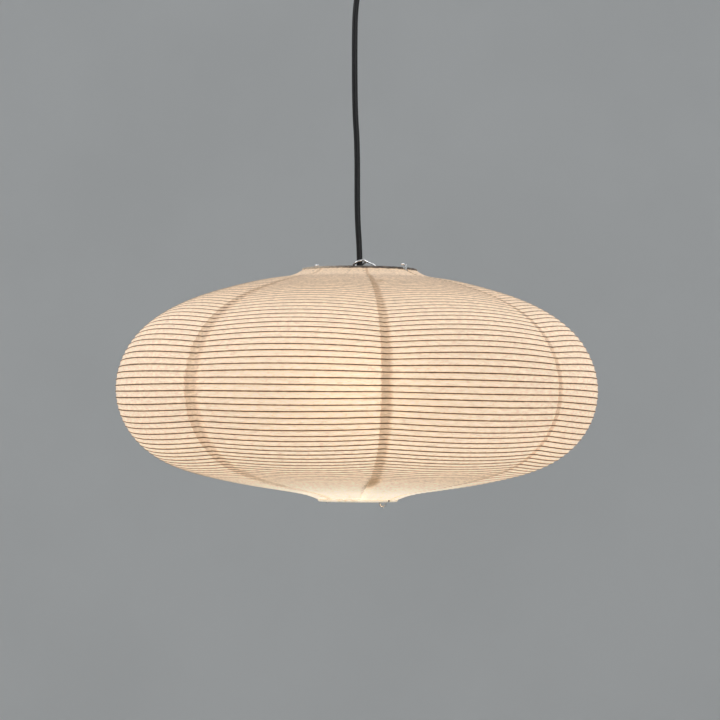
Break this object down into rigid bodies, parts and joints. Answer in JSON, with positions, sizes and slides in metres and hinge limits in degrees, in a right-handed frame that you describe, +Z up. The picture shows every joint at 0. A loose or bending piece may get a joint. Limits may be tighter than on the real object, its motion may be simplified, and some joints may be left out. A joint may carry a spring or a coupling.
{
  "type": "paper pendant lantern",
  "caption": "Flattened round paper lantern on a spiral rib with a sprung wire stretcher, hung with its lampholder and bulb from a cord and ceiling canopy.",
  "frame": {"origin": "middle of the ceiling bracket's top face, between its two screw holes, in the plane of the ceiling", "axes": "+Z up along the shade's axis, out of the bracket into the ceiling; X along the bracket's screw holes and the stretcher's plane"},
  "size_m": [0.5002, 0.5002, 0.6108],
  "materials": {
    "zinc_steel": "bright zinc-plated steel",
    "black_canopy": "satin black powder coat",
    "black_plastic": "moulded black, slightly textured",
    "white_plastic": "moulded white",
    "cord_black": "smooth black PVC sheath",
    "wire_brown": "brown PVC insulation",
    "wire_blue": "blue PVC insulation",
    "ceramic": "off-white moulded insulator",
    "brass": "plain brass",
    "nickel": "nickel-plated cap",
    "black_glass": "black glass insulator",
    "opal": "opal diffuser, lit warm white",
    "driver_green": "circuit board",
    "ring_wire": "plain steel wire ring",
    "stretcher_wire": "bright spring wire",
    "rib": "thin brown rib",
    "paper": "off-white fibrous rice paper, translucent",
    "paper_hem": "doubled paper hem"
  },
  "bodies": {
    "ceiling": {"ceiling_bracket": "zinc_steel"},
    "canopy": {"canopy_cup": "black_canopy", "canopy_side_screws": "zinc_steel", "canopy_cord_grip": "black_plastic", "canopy_grip_screw": "zinc_steel", "canopy_grip_nut": "black_plastic", "cord_upper_end": "cord_black", "terminal_block": "white_plastic", "terminal_screws": "zinc_steel", "live_wire": "wire_brown", "neutral_wire": "wire_blue"},
    "cord": {"cord": "cord_black"},
    "lantern": {"lampholder_cord_gland": "black_plastic", "lampholder_gland_nut": "black_plastic", "cord_lower_end": "cord_black", "lampholder_cap": "black_plastic", "lampholder_body": "black_plastic", "lampholder_insert": "ceramic", "lampholder_terminal_screws": "brass", "lampholder_wires": "wire_brown", "lampholder_screw_shell": "brass", "lampholder_contact": "brass", "top_ring": "ring_wire", "top_hem": "paper_hem", "paper_gore_1": "paper", "paper_gore_2": "paper", "paper_gore_3": "paper", "paper_gore_4": "paper", "paper_gore_5": "paper", "paper_gore_6": "paper", "paper_gore_7": "paper", "paper_gore_8": "paper", "spiral_rib": "rib", "stretcher_arms": "stretcher_wire"},
    "bulb": {"bulb_contact": "brass", "bulb_insulator": "black_glass", "bulb_screw_cap": "nickel", "bulb_collar": "white_plastic", "bulb_globe": "opal", "bulb_led_board": "white_plastic", "bulb_driver": "driver_green"},
    "leg_left": {"stretcher_leg_left": "stretcher_wire"},
    "leg_right": {"stretcher_leg_right": "stretcher_wire"},
    "bottom_ring": {"bottom_ring": "ring_wire", "bottom_hem": "paper_hem"}
  },
  "joints": [
    {"name": "canopy_drop", "type": "slide", "parent": "ceiling", "child": "canopy", "axis": [0, 0, -1], "range_m": [0, 0.06]},
    {"name": "cord_swing", "type": "hinge", "parent": "canopy", "child": "cord", "pos_m": [0, 0, -0.041], "axis": [0, 1, 0], "range_deg": [-20, 20]},
    {"name": "lantern_rock", "type": "hinge", "parent": "cord", "child": "lantern", "pos_m": [0, 0, -0.3608], "axis": [1, 0, 0], "range_deg": [-12, 12]},
    {"name": "bulb_unscrew", "type": "slide", "parent": "lantern", "child": "bulb", "axis": [0, 0, -1], "range_m": [0, 0.026]},
    {"name": "shade_collapse", "type": "slide", "parent": "lantern", "child": "bottom_ring", "axis": [0, 0, 1], "range_m": [0, 0.18], "deforming": ["paper_gore_1", "paper_gore_2", "paper_gore_3", "paper_gore_4", "paper_gore_5", "paper_gore_6", "paper_gore_7", "paper_gore_8", "spiral_rib"]},
    {"name": "leg_left_squeeze", "type": "hinge", "parent": "lantern", "child": "leg_left", "pos_m": [-0.041, 0, -0.36985], "axis": [0, -1, 0], "range_deg": [0, 4]},
    {"name": "leg_right_squeeze", "type": "hinge", "parent": "lantern", "child": "leg_right", "pos_m": [0.041, 0, -0.36985], "axis": [0, 1, 0], "range_deg": [0, 4]}
  ],
  "couplings": [
    {"joint": "leg_left_squeeze", "follows": "shade_collapse", "rad_per_m": 0.35},
    {"joint": "leg_right_squeeze", "follows": "shade_collapse", "rad_per_m": 0.35}
  ]
}
